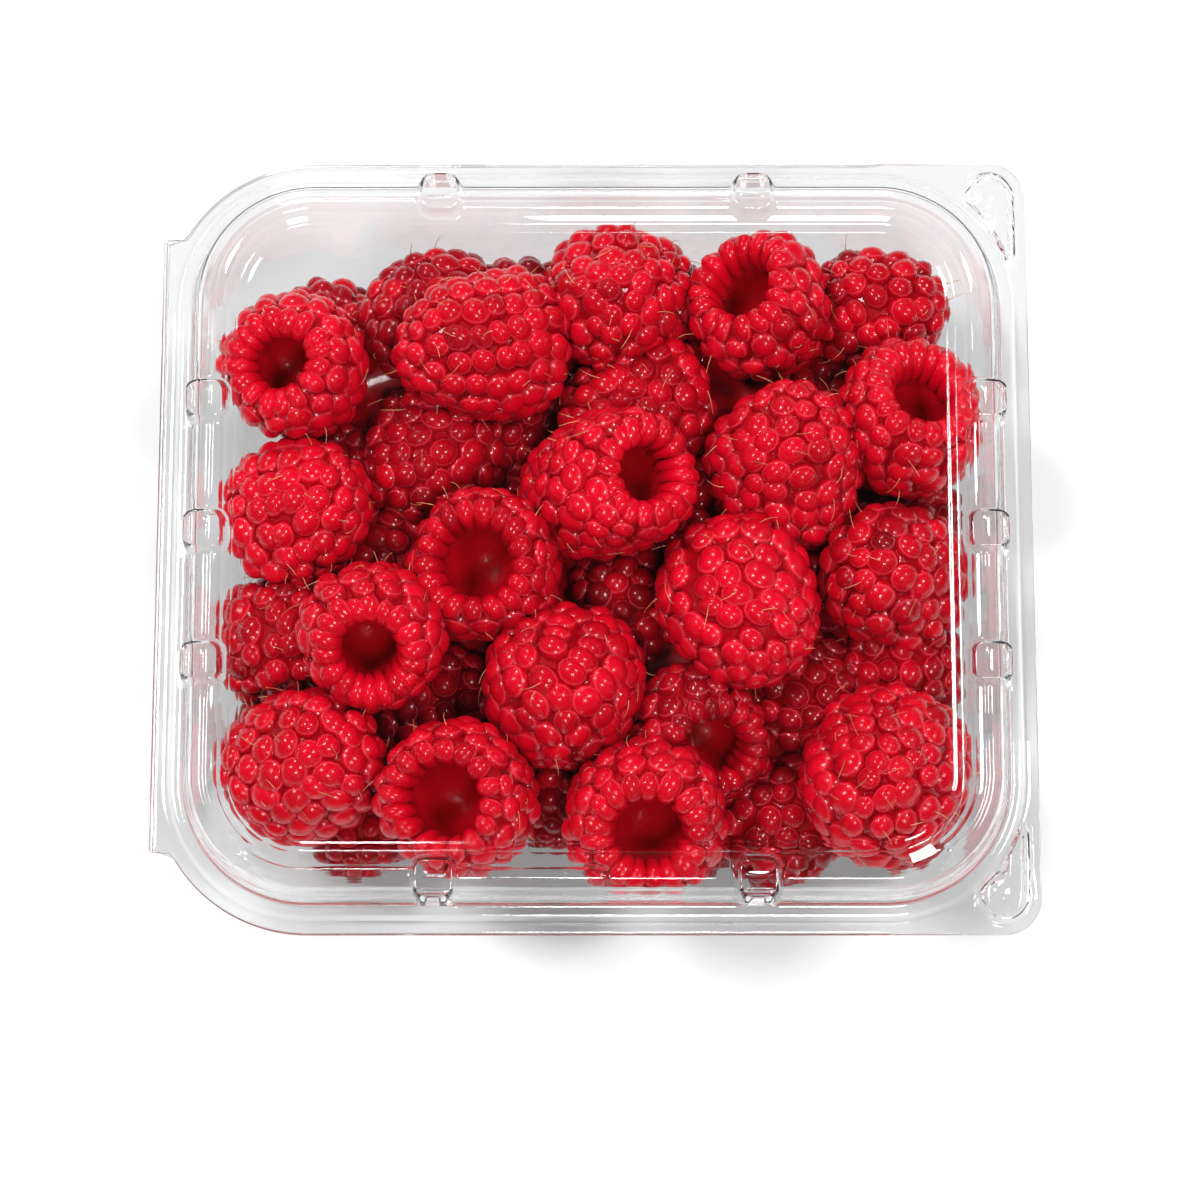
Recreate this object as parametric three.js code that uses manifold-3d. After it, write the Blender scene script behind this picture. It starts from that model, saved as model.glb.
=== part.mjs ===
// A shut clear plastic punnet of raspberries, in millimetres, +Z up.
// The origin is the middle of the pack's footprint, on the surface it stands on.
// The lid is hinged along the left edge (-X) and snaps shut at the two right corners (+X).
// The front (-Y) is the long side nearest the viewer.
import * as THREE from 'three';
import { mergeVertices } from 'three/addons/utils/BufferGeometryUtils.js';
import Module from 'manifold-3d';

const wasm = await Module();
wasm.setup();

// Driving dimensions of the pack
const packLength = 119.6; // hinge edge to snap edge
const packWidth = 108.6; // front to back
const packHeight = 40;
const flangeTopHeight = 33.55; // top of the lid's flange
const sheet = 0.4; // wall of the formed plastic
const gap = 0.3; // air between the tray, the lid and the berries
const cornerRadius = 21; // outer corner that every ring follows
const snapCornerRadius = 5; // the two nearly square corners of the flange
const hingeHalfLength = 43.3;
const cornerSteps = 8;

// The flange and ridge, each point an inset from the outer edge and a height over the flange
const rimLip = 0.3;
const rimWidth = 0.7;
const stepStart = 1.5;
const stepEnd = 2.3;
const stepRise = 0.9;
const landEnd = 3.7;
const ridgeHollowDrop = 5; // how far the cut-away space under the ridge reaches below the flange
const crestInset = 6.7;
const crestRise = packHeight - flangeTopHeight;
const panelInset = 11;
const panelDrop = 1.8; // the panel lies this far below the crest
const panelRise = crestRise - panelDrop;

// The tray, by inset and height of its inside face
const shoulderInset = 4.3;
const shoulderDrop = 0.2; // below the flange
const wallTopInset = 4.9;
const wallTopDrop = 1;
const wallFootInset = 8.3;
const wallFootHeight = 2.6;
const floorInset = 11.2;
const footInset = 19.8; // the floor inside this is raised a little
const footRise = 0.8;
const footSlope = 1.2;
const smallestRadius = 3;

// The vent lugs on the ridge and the snap buttons in the square corners
const lugInset = 6.6;
const lugLength = 4.7;
const lugWidth = 5.4;
const lugRise = 0.9; // over the crest
const lugChamfer = 0.6;
const lugRadius = 1.2;
const ventDepth = 1; // how far the slot cuts down into the lug
const ventLength = 3.2;
const ventWidth = 1.2;
const longSideLugs = [-21.6, 21.6]; // along X, front and back
const shortSideLugs = [-18.3, 0, 18.3]; // along Y, left and right
const channelStart = -44;
const channelEnd = 1.8;
const channelWidth = 3.8;
const channelRise = 0.4;
const channelInset = 6.7;
const snapInset = [5.2, 5]; // from the right edge, and from the front or back edge
const snapRadius = 3.2;
const snapRise = 1.5;
const snapEdge = [0.7, 0.4]; // bevel round the top of a snap, across and down
const snapSides = 14;

const plasticLook = { color: 0xeef2f3, roughness: 0.08, metalness: 0, transparent: true, opacity: 0.3 };
const berryLook = { color: 0xb8102c, roughness: 0.35, metalness: 0 };

// Berry layers: centre in the pack, length, width, where the stalk end faces (turn, tilt up), open or not
const topBerries = [
  [-42, 27, 25, 21, 21, 210, 75, true],
  [-16.5, 30, 26.4, 25, 21, 10, -25, false],
  [3, 37.5, 23, 22, 22, 80, -60, false],
  [24, 36, 22, 20, 20.5, 156, 60, true],
  [0.5, 9.5, 26.2, 26.5, 21.5, 0, 54, true],
  [27, 14, 26, 23, 22.5, 250, -65, false],
  [43.5, 19, 23.5, 21, 21.5, 52, 70, true],
  [-41, 7, 24, 21, 20, 200, -40, false],
  [-14.5, -1.5, 23, 23, 21.5, 205, 74, true],
  [41, -2, 22, 21, 20.5, 0, -60, false],
  [20, -8, 26, 24, 22.5, 100, -35, false],
  [-31, -10.5, 25.5, 23, 20.5, 270, 58, true],
  [-4.5, -19, 25.8, 23, 23, 80, -70, false],
  [-39.5, -29, 23, 23, 21.5, 200, -50, false],
  [-18.5, -34.5, 24.5, 24, 22, 217, 72, true],
  [6.5, -36, 23.5, 23, 22.5, 276, 62, true],
  [39.5, -31.5, 24, 25, 23.5, 60, -55, false],
];
const middleBerries = [
  [-24, 36.5, 15.5, 22, 21.5, 20, -35, false],
  [40.5, 37.5, 18, 20, 19, 180, -30, false],
  [5, 22.5, 19, 22, 20, 30, -20, false],
  [-23.5, 16, 17, 22, 20.5, 60, -30, false],
  [-43.5, -11, 19, 20, 18, 180, -40, false],
  [14, -23.5, 19, 20, 19.5, 300, 55, true],
  [29.5, -18.5, 15, 20, 19.5, 140, -30, false],
];
const bottomBerries = [
  [-38, 34, 12, 18.5, 17.5, 120, -40, false],
  [-36, 14, 12, 20, 19, 0, -30, false],
  [-28.5, 2, 12, 20, 19, 150, -30, false],
  [3.5, -5.5, 12, 20, 20, 60, -30, false],
  [-22, -18, 12, 20, 20, 180, -20, false],
  [42, -14, 12, 20, 19, 20, -40, false],
  [27, -34.5, 13.5, 20, 19.5, 200, -30, false],
  [-11, 22, 11.5, 20, 19.5, 90, -30, false],
  [15, 8.5, 11.5, 20, 20, 270, -20, false],
  [-9.5, 36, 12.5, 20, 19, 90, -10, false],
  [-42, -22, 10, 19, 18, 230, -20, false],
  [-33, -33, 10, 19, 18, 300, -15, false],
  [-6, -30, 10.5, 19.5, 18.5, 80, -20, false],
  [42, -32, 10, 19, 18, 330, -10, false],
  [42, 7, 10.5, 19.5, 18.5, 10, -20, false],
  [30, 28, 10.5, 19.5, 18.5, 60, -20, false],
  [10, 36, 10.5, 19.5, 18.5, 100, -15, false],
  [30, -2, 10.5, 19.5, 18.5, 340, -20, false],
  [-10, 4, 10.5, 19.5, 18.5, 130, -20, false],
  [12, -33, 10, 19, 18, 260, -15, false],
];
const coreHalfSize = [36, 30];
const coreHeights = [4, 19];
const coreRadius = 9;

// A berry's outline from its tip to its base: share of the half width, share of the length from the middle
const berryOutline = [[0, -0.5], [0.42, -0.45], [0.74, -0.3], [0.94, -0.08], [1, 0.14], [0.93, 0.32]];
const closedBase = [[0.66, 0.45], [0, 0.47]];
const openBase = [[0.76, 0.46], [0.58, 0.49], [0.44, 0.4], [0.38, 0.2], [0.26, 0.02], [0, -0.05]];

// Berries that hardly show have fewer sides and only every second point of the outline
const berryLayers = [
  { berries: bottomBerries, sides: 8, outline: berryOutline.filter((_, i) => i % 2 === 0) },
  { berries: middleBerries, sides: 10, outline: berryOutline },
  { berries: topBerries, sides: 12, outline: berryOutline },
];

// A closed body from rings of equally many points, each ring capped by a fan at the first and last
function loft(rings) {
  const count = rings[0].length;
  const positions = rings.flat().flat();
  const index = [];
  for (let ring = 0; ring + 1 < rings.length; ring++) {
    for (let i = 0; i < count; i++) {
      const a = ring * count + i;
      const b = ring * count + (i + 1) % count;
      index.push(a, b, b + count, a, b + count, a + count);
    }
  }
  for (const last of [false, true]) {
    const start = last ? (rings.length - 1) * count : 0;
    const ring = rings[last ? rings.length - 1 : 0];
    const middle = [0, 1, 2].map((k) => ring.reduce((sum, p) => sum + p[k], 0) / count);
    const hub = positions.length / 3;
    positions.push(...middle);
    for (let i = 0; i < count; i++) {
      const a = start + i;
      const b = start + (i + 1) % count;
      index.push(...(last ? [a, b, hub] : [b, a, hub]));
    }
  }
  const geometry = new THREE.BufferGeometry();
  geometry.setAttribute('position', new THREE.Float32BufferAttribute(positions, 3));
  geometry.setIndex(index);
  return geometry;
}

// A rounded rectangle with one radius per corner, anticlockwise from the back right corner
function roundedRing(halfX, halfY, radii, z, steps = cornerSteps, centre = [0, 0]) {
  const points = [];
  for (let corner = 0; corner < 4; corner++) {
    const radius = radii[corner];
    const signX = corner === 0 || corner === 3 ? 1 : -1;
    const signY = corner < 2 ? 1 : -1;
    for (let i = 0; i <= steps; i++) {
      const angle = (corner + i / steps) * Math.PI / 2;
      points.push([
        centre[0] + signX * (halfX - radius) + radius * Math.cos(angle),
        centre[1] + signY * (halfY - radius) + radius * Math.sin(angle),
        z,
      ]);
    }
  }
  return points;
}

// One ring of the pack at an inset from the outer edge
function packRing(inset, z) {
  const halfX = packLength / 2 - inset;
  const halfY = packWidth / 2 - inset;
  const round = Math.max(cornerRadius - inset, smallestRadius);
  if (inset >= stepStart) return roundedRing(halfX, halfY, [round, round, round, round], z);
  const square = snapCornerRadius - inset;
  const ring = roundedRing(halfX, halfY, [square, round, round, square], z);
  // the hinge strip runs straight past the start of both left corners
  const tabEnd = hingeHalfLength - inset;
  for (const corner of [1, 2]) {
    const side = corner === 1 ? 1 : -1;
    const first = corner * (cornerSteps + 1);
    const centreY = halfY - round;
    const reach = Math.asin((tabEnd - centreY) / round); // where the strip meets the arc
    for (let i = 0; i <= cornerSteps; i++) {
      const share = corner === 1 ? 1 - i / cornerSteps : i / cornerSteps;
      const past = Math.max(share * cornerSteps - 1, 0) / (cornerSteps - 1);
      const angle = reach + (Math.PI / 2 - reach) * past;
      const x = -(halfX - round) - round * Math.cos(angle);
      const y = centreY + round * Math.sin(angle);
      ring[first + i] = share === 0 ? [-halfX, side * tabEnd, z] : [x, side * y, z];
    }
  }
  return ring;
}

// The same profile moved to its lower side by a distance
function offset(profile, distance) {
  const normal = (a, b) => {
    const length = Math.hypot(b[0] - a[0], b[1] - a[1]);
    return [(b[1] - a[1]) / length, -(b[0] - a[0]) / length];
  };
  return profile.map((point, i) => {
    const before = i > 0 ? normal(profile[i - 1], point) : null;
    const after = i + 1 < profile.length ? normal(point, profile[i + 1]) : null;
    const n = before ?? after;
    const m = after ?? before;
    const scale = distance / (1 + n[0] * m[0] + n[1] * m[1]);
    return [point[0] + (n[0] + m[0]) * scale, point[1] + (n[1] + m[1]) * scale];
  });
}

// A sheet that follows a profile from the outer edge to the middle, with its lower face offset
function formedSheet(profile) {
  const lower = offset(profile, sheet);
  const rings = [...lower].reverse().concat(profile);
  return loft(rings.map(([inset, z]) => packRing(inset, z)));
}

function solid(geometry) {
  const bare = geometry.clone();
  bare.deleteAttribute('normal');
  bare.deleteAttribute('uv');
  const merged = mergeVertices(bare, 1e-4);
  const vertProperties = Float32Array.from(merged.attributes.position.array);
  const triVerts = Uint32Array.from(merged.index.array);
  return new wasm.Manifold(new wasm.Mesh({ numProp: 3, vertProperties, triVerts }));
}

function geometryOf(body) {
  const mesh = body.getMesh();
  const geometry = new THREE.BufferGeometry();
  geometry.setAttribute('position', new THREE.Float32BufferAttribute(mesh.vertProperties, 3));
  geometry.setIndex([...mesh.triVerts]);
  return geometry;
}

const flangeProfile = [
  [0, flangeTopHeight - rimLip],
  [rimWidth, flangeTopHeight],
  [stepStart, flangeTopHeight],
  [stepEnd, flangeTopHeight + stepRise],
  [landEnd, flangeTopHeight + stepRise],
];
const ridgeShape = [[4.1, 1.4], [4.5, 3.5], [5.3, 5.6], [crestInset, crestRise], [8.2, 6.2], [10.2, 5.2]];
const lidProfile = [
  ...flangeProfile,
  ...ridgeShape.map(([inset, rise]) => [inset, flangeTopHeight + rise]),
  [panelInset, flangeTopHeight + panelRise],
];
const trayFlange = offset(flangeProfile, sheet + gap);
const trayProfile = [
  ...trayFlange,
  [shoulderInset, trayFlange.at(-1)[1] - shoulderDrop],
  [wallTopInset, trayFlange.at(-1)[1] - wallTopDrop],
  [wallFootInset, wallFootHeight],
  [(wallFootInset + floorInset) / 2, sheet + wallFootHeight / 6],
  [floorInset, sheet],
  [footInset, sheet],
  [footInset + footSlope, sheet + footRise],
];

// A dome that stands on the flange at each square corner, or the hollow inside it
function snapDome(side, base, radius, rise, drop) {
  const [across, down] = snapEdge;
  const outline = [[0, -drop], [radius, -drop], [radius, rise - down], [radius - across, rise], [0, rise]];
  const dome = new THREE.LatheGeometry(outline.map(([r, y]) => new THREE.Vector2(r, y)), snapSides);
  dome.rotateX(Math.PI / 2);
  return solid(dome.translate(packLength / 2 - snapInset[0], side * (packWidth / 2 - snapInset[1]), base));
}

function withSnaps(body, top, radius) {
  for (const side of [-1, 1]) {
    body = body.add(snapDome(side, top, radius, snapRise, sheet / 2));
    body = body.subtract(snapDome(side, top, radius - sheet, snapRise - sheet, 2 * sheet));
  }
  return body;
}

// Rounded blocks on the ridge, each along its own side: the lugs and the long channel at the front
function ridgeBlocks() {
  const lug = { half: lugLength / 2, inset: lugInset, width: lugWidth, rise: lugRise, vent: true };
  const blocks = [];
  for (const side of [-1, 1]) {
    for (const along of longSideLugs) blocks.push({ ...lug, along, side, turned: false });
    for (const along of shortSideLugs) blocks.push({ ...lug, along, side, turned: true });
  }
  const half = (channelEnd - channelStart) / 2;
  blocks.push({
    half, inset: channelInset, width: channelWidth, rise: channelRise, vent: false,
    along: (channelStart + channelEnd) / 2, side: -1, turned: false,
  });
  return blocks;
}

function blockSolid(block, shrink, bottom, top) {
  const along = block.half - shrink;
  const across = block.width / 2 - shrink;
  const reach = (block.turned ? packLength : packWidth) / 2 - block.inset;
  const centre = block.turned ? [block.side * reach, block.along] : [block.along, block.side * reach];
  const ring = (less, z) => {
    const half = block.turned ? [across - less, along - less] : [along - less, across - less];
    const radius = lugRadius - less / 2;
    return roundedRing(half[0], half[1], [radius, radius, radius, radius], z, 1, centre);
  };
  return solid(loft([ring(0, bottom), ring(0, top - lugChamfer), ring(lugChamfer, top)]));
}

function ventSlot(block) {
  const size = block.turned ? [ventWidth, ventLength] : [ventLength, ventWidth];
  const reach = (block.turned ? packLength : packWidth) / 2 - block.inset;
  const centre = block.turned ? [block.side * reach, block.along] : [block.along, block.side * reach];
  const slot = new THREE.BoxGeometry(size[0], size[1], 2 * ventDepth);
  return solid(slot.translate(centre[0], centre[1], packHeight + block.rise));
}

function makeLid() {
  const underside = offset(lidProfile, sheet).slice(flangeProfile.length - 2); // from the land to the panel
  const hollow = solid(loft([
    packRing(underside[0][0], flangeTopHeight - ridgeHollowDrop),
    ...underside.map(([inset, z]) => packRing(inset, z)),
  ]));
  let lid = solid(formedSheet(lidProfile));
  for (const block of ridgeBlocks()) {
    const top = packHeight + block.rise;
    const outside = blockSolid(block, 0, flangeTopHeight + stepRise - sheet / 2, top);
    const inside = blockSolid(block, sheet, flangeTopHeight + stepRise, top - sheet);
    lid = lid.add(outside.subtract(hollow)).subtract(inside);
    if (block.vent) lid = lid.subtract(ventSlot(block));
  }
  return geometryOf(withSnaps(lid, flangeTopHeight, snapRadius));
}

function makeTray() {
  const drop = sheet + gap;
  return geometryOf(withSnaps(solid(formedSheet(trayProfile)), flangeTopHeight - drop, snapRadius - drop));
}

function berrySolid([x, y, z, length, width, turn, tilt, open], sides, outline) {
  const whole = [...outline, ...(open ? openBase : closedBase)];
  const points = whole.map(([r, t]) => new THREE.Vector2(r * width / 2, t * length));
  const berry = new THREE.LatheGeometry(points, sides);
  const azimuth = THREE.MathUtils.degToRad(turn);
  const elevation = THREE.MathUtils.degToRad(tilt);
  const mouth = new THREE.Vector3(
    Math.cos(azimuth) * Math.cos(elevation), Math.sin(azimuth) * Math.cos(elevation), Math.sin(elevation));
  berry.applyQuaternion(new THREE.Quaternion().setFromUnitVectors(new THREE.Vector3(0, 1, 0), mouth));
  return solid(berry.translate(x, y, z));
}

// The room that the berries fill: the tray's inside less the gap, up to the lid's panel
function roomSolid() {
  const inside = trayProfile.slice(trayFlange.length + 1).map(([inset, z]) => [inset + gap, z + gap]);
  const lidUnderside = flangeTopHeight + panelRise - sheet;
  const rings = [...inside].reverse();
  rings.push([wallTopInset + gap, lidUnderside - gap]);
  return solid(loft(rings.map(([inset, z]) => packRing(inset, z))));
}

// The biggest connected shell of a mesh, so that voids shut in between berries are filled
function outerShell(geometry) {
  const index = geometry.index.array;
  const group = [...geometry.attributes.position.array.keys()];
  const find = (v) => {
    while (group[v] !== v) v = group[v];
    return v;
  };
  for (let i = 0; i < index.length; i += 3) {
    for (const other of [index[i + 1], index[i + 2]]) {
      const low = Math.min(find(index[i]), find(other));
      const high = Math.max(find(index[i]), find(other));
      group[high] = low;
    }
  }
  const faces = new Map();
  for (let i = 0; i < index.length; i += 3) {
    const root = find(index[i]);
    faces.set(root, [...(faces.get(root) ?? []), index[i], index[i + 1], index[i + 2]]);
  }
  const largest = [...faces.values()].reduce((best, list) => (list.length > best.length ? list : best));
  const shell = geometry.clone();
  shell.setIndex(largest);
  return solid(shell);
}

function makeBerries() {
  const radii = Array(4).fill(coreRadius);
  const core = coreHeights.map((z) => roundedRing(coreHalfSize[0], coreHalfSize[1], radii, z, 2));
  let heap = solid(loft(core));
  for (const { berries, sides, outline } of berryLayers) {
    for (const berry of berries) heap = heap.add(berrySolid(berry, sides, outline));
  }
  return geometryOf(outerShell(geometryOf(heap.intersect(roomSolid()))));
}

function piece(name, geometry, look) {
  const mesh = new THREE.Mesh(geometry, new THREE.MeshStandardMaterial(look));
  mesh.name = name;
  geometry.computeVertexNormals();
  return mesh;
}

const punnet = new THREE.Group();
punnet.add(piece('tray', makeTray(), plasticLook));
punnet.add(piece('lid', makeLid(), plasticLook));
punnet.add(piece('raspberries', makeBerries(), berryLook));

export default punnet;
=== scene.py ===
# A shut clear punnet heaped with raspberries, worked out in millimetres and made metres at the end
import bisect
import math
import random

import bmesh
import bpy
from mathutils import Matrix, Vector, noise


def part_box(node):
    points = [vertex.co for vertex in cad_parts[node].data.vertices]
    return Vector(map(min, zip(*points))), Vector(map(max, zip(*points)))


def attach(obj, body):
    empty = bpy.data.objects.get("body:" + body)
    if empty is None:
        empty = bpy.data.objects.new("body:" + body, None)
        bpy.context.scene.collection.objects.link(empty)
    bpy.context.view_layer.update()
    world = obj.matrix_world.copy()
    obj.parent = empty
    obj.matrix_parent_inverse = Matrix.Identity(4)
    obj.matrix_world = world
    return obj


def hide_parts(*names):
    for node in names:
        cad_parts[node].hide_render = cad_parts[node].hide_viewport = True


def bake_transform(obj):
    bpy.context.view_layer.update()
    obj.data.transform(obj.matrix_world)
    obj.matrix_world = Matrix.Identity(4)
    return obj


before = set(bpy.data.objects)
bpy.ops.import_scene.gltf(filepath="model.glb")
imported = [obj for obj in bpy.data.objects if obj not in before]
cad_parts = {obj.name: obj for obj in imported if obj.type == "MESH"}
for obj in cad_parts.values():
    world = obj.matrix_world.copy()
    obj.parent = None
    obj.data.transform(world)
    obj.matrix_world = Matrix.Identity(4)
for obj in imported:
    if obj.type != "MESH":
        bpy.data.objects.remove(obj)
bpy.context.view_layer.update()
noise.seed_set(4)  # unseeded, noise_vector follows the clock and the berries differ from run to run
print("frame loaded")

mm = 0.001
lidLow, lidHigh = (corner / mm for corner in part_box("lid"))
packLength = lidHigh.x - lidLow.x
packWidth = lidHigh.y - lidLow.y

pack = {
    "cornerRadius": 21,
    "snapCornerRadius": 5,
    "smallestRadius": 3,
    "hingeHalfLength": 43.3,
    "height": 40,
    "flangeTop": 33.55,
    "sheet": 0.26,
    "trayDrop": 0.7,  # the tray's flange lies this far under the lid's
}
straightX = packLength / 2 - pack["cornerRadius"]
straightY = packWidth / 2 - pack["cornerRadius"]


def smoothStep(low, high, value):
    share = min(max((value - low) / (high - low), 0), 1)
    return share * share * (3 - 2 * share)


def finishPiece(name, bm, body, material, replaced=None, sharpAngle=None, wall=None):
    # closes a piece: metres, a mesh at the origin, its material, its body and the node it stands for
    bmesh.ops.scale(bm, vec=(mm, mm, mm), verts=bm.verts)
    mesh = bpy.data.meshes.new(name)
    bm.to_mesh(mesh)
    bm.free()
    mesh.polygons.foreach_set("use_smooth", [True] * len(mesh.polygons))
    if sharpAngle:
        mesh.set_sharp_from_angle(angle=math.radians(sharpAngle))
    mesh.materials.append(material)
    piece = bpy.data.objects.new(name, mesh)
    bpy.context.scene.collection.objects.link(piece)
    if wall:
        solidify = piece.modifiers.new("wall", "SOLIDIFY")
        solidify.thickness = wall * mm
        solidify.offset = -1  # the modelled face stays the outer one
    if body:
        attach(piece, body)
    if replaced:
        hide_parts(replaced)
    print(name, len(mesh.polygons), "faces")
    return piece


# Camera, at the photograph's angle: near the vertical, from the front
view = {"lookAt": (0.51, -8.23, 33), "distance": 545, "fromVertical": 13, "lens": 119.7, "sensor": 36}


def addCamera():
    tilt = math.radians(view["fromVertical"])
    data = bpy.data.cameras.new("camera")
    data.lens = view["lens"]
    data.sensor_width = view["sensor"]
    data.clip_start = 0.01
    data.clip_end = 20
    camera = bpy.data.objects.new("camera", data)
    bpy.context.scene.collection.objects.link(camera)
    back = Vector((0, -math.sin(tilt), math.cos(tilt)))
    camera.location = (Vector(view["lookAt"]) + back * view["distance"]) * mm
    camera.rotation_euler = (-back).to_track_quat("-Z", "Y").to_euler()
    bpy.context.scene.camera = camera


studio = {
    "floorColour": (0.91, 0.91, 0.915, 1),
    "floorSize": 3,
    "horizon": (0.18, 0.182, 0.184, 1),
    "zenith": (0.02, 0.02, 0.021, 1),  # dark overhead, so that the lid's flat panel mirrors nothing bright
    "zenithFrom": 0.1,
    "zenithTo": 0.6,
    "lamps": [
        # name, place in metres, size, watts
        ("lampLeft", (-0.55, 0.2, 1), 0.27, 6.6),
        ("lampRight", (0.55, 0.05, 1), 0.25, 5.6),
        ("lampFront", (0.1, -0.6, 1.05), 0.27, 6),
        ("lampBack", (-0.2, 0.95, 0.8), 0.25, 5),
    ],
}


def addWorld():
    world = bpy.data.worlds.new("studio")
    bpy.context.scene.world = world
    world.use_nodes = True
    nodes, links = world.node_tree.nodes, world.node_tree.links
    place = nodes.new("ShaderNodeTexCoord")
    split = nodes.new("ShaderNodeSeparateXYZ")
    links.new(place.outputs["Generated"], split.inputs["Vector"])
    height = nodes.new("ShaderNodeMapRange")
    height.interpolation_type = "SMOOTHSTEP"
    height.inputs["From Min"].default_value = studio["zenithFrom"]
    height.inputs["From Max"].default_value = studio["zenithTo"]
    links.new(split.outputs["Z"], height.inputs["Value"])
    mix = nodes.new("ShaderNodeMix")
    mix.data_type = "RGBA"
    links.new(height.outputs["Result"], mix.inputs["Factor"])
    mix.inputs["A"].default_value = studio["horizon"]
    mix.inputs["B"].default_value = studio["zenith"]
    links.new(mix.outputs["Result"], nodes["Background"].inputs["Color"])


def addStudio():
    addWorld()
    for name, place, size, watts in studio["lamps"]:
        data = bpy.data.lights.new(name, "AREA")
        data.shape = "SQUARE"
        data.size = size
        data.energy = watts
        lamp = bpy.data.objects.new(name, data)
        bpy.context.scene.collection.objects.link(lamp)
        lamp.location = place
        lamp.rotation_euler = (-Vector(place)).to_track_quat("-Z", "Y").to_euler()
    bm = bmesh.new()
    bmesh.ops.create_grid(bm, x_segments=1, y_segments=1, size=studio["floorSize"] / 2 / mm)
    floor = finishPiece("floor", bm, None, floorMaterial())
    floor.location.z = -0.0002
    bpy.context.scene.view_settings.view_transform = "Standard"
    cycles = bpy.context.scene.cycles
    cycles.max_bounces = 7
    cycles.diffuse_bounces = 1
    cycles.glossy_bounces = 2
    cycles.transmission_bounces = 7
    cycles.transparent_max_bounces = 10
    cycles.caustics_reflective = False
    cycles.caustics_refractive = False


def newMaterial(name):
    material = bpy.data.materials.new(name)
    material.use_nodes = True
    tree = material.node_tree
    tree.nodes.clear()
    return material, tree.nodes, tree.links


def floorMaterial():
    material, nodes, links = newMaterial("paleFloor")
    shader = nodes.new("ShaderNodeBsdfPrincipled")
    shader.inputs["Base Color"].default_value = studio["floorColour"]
    shader.inputs["Roughness"].default_value = 0.6
    shader.inputs["Specular IOR Level"].default_value = 0
    output = nodes.new("ShaderNodeOutputMaterial")
    links.new(shader.outputs["BSDF"], output.inputs["Surface"])
    return material


# Clear plastic: light passes straight through its shadow, as through a thin formed sheet
plastic = {
    "colour": (0.93, 0.933, 0.935, 1),
    "ior": 1.5,
    "roughness": 0,
    "waviness": 0.05,
    "waveScale": 90,
    "deepest": 4,  # bounces after which light trapped in the sheet passes on, so no bend turns black
}


def clearPlastic(name):
    material, nodes, links = newMaterial(name)
    shader = nodes.new("ShaderNodeBsdfPrincipled")
    shader.inputs["Base Color"].default_value = plastic["colour"]
    shader.inputs["Transmission Weight"].default_value = 1
    shader.inputs["IOR"].default_value = plastic["ior"]
    shader.inputs["Roughness"].default_value = plastic["roughness"]
    place = nodes.new("ShaderNodeTexCoord")
    waves = nodes.new("ShaderNodeTexNoise")
    waves.inputs["Scale"].default_value = plastic["waveScale"]
    waves.inputs["Detail"].default_value = 1
    links.new(place.outputs["Object"], waves.inputs["Vector"])
    bump = nodes.new("ShaderNodeBump")
    bump.inputs["Strength"].default_value = plastic["waviness"]
    bump.inputs["Distance"].default_value = mm
    links.new(waves.outputs["Fac"], bump.inputs["Height"])
    links.new(bump.outputs["Normal"], shader.inputs["Normal"])
    passing = nodes.new("ShaderNodeBsdfTransparent")
    path = nodes.new("ShaderNodeLightPath")
    indirect = nodes.new("ShaderNodeMath")
    indirect.operation = "MAXIMUM"
    links.new(path.outputs["Is Shadow Ray"], indirect.inputs[0])
    links.new(path.outputs["Is Diffuse Ray"], indirect.inputs[1])
    trapped = nodes.new("ShaderNodeMath")
    trapped.operation = "GREATER_THAN"
    links.new(path.outputs["Ray Depth"], trapped.inputs[0])
    trapped.inputs[1].default_value = plastic["deepest"]
    straight = nodes.new("ShaderNodeMath")
    straight.operation = "MAXIMUM"
    links.new(indirect.outputs["Value"], straight.inputs[0])
    links.new(trapped.outputs["Value"], straight.inputs[1])
    mix = nodes.new("ShaderNodeMixShader")
    links.new(straight.outputs["Value"], mix.inputs["Fac"])
    links.new(shader.outputs["BSDF"], mix.inputs[1])
    links.new(passing.outputs["BSDF"], mix.inputs[2])
    output = nodes.new("ShaderNodeOutputMaterial")
    links.new(mix.outputs["Shader"], output.inputs["Surface"])
    return material


# The formed sheets. A station is an anchor, in shares of the corner centres, and a direction away from it
outline = {
    "lidTurns": (62, 32),  # steps round a right and a left corner
    "trayTurns": (56, 30),
    "sideStep": 4,
    "longLugs": (-21.6, 21.6),
    "shortLugs": (-18.3, 0, 18.3),
    "lugMarks": (0, 0.7, 1.3, 1.6, 1.9, 2.15, 2.35, 2.5, 2.65, 2.8, 2.95, 3.15, 3.5),
    "channelMarks": (-1.6, -1.1, -0.8, -0.55, -0.3, 0, 0.25, 0.5, 0.9),
    "squareUntil": 0.7,  # inset where the flange still follows the square corners and the hinge strip
    "roundFrom": 1.25,  # inset from which every ring is round
    "blendRings": 20,
}


def sideMarks(half, features, markSets):
    # places along one side: even steps, and close ones round each feature
    marks = {round(f + m, 3) for f, marks in zip(features, markSets) for m in marks}
    count = round(2 * half / outline["sideStep"])
    for i in range(1, count):
        place = -half + 2 * half * i / count
        if all(abs(place - f) > 4 for f in features):
            marks.add(place)
    return sorted(m for m in marks if abs(m) < half - 0.3)


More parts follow.
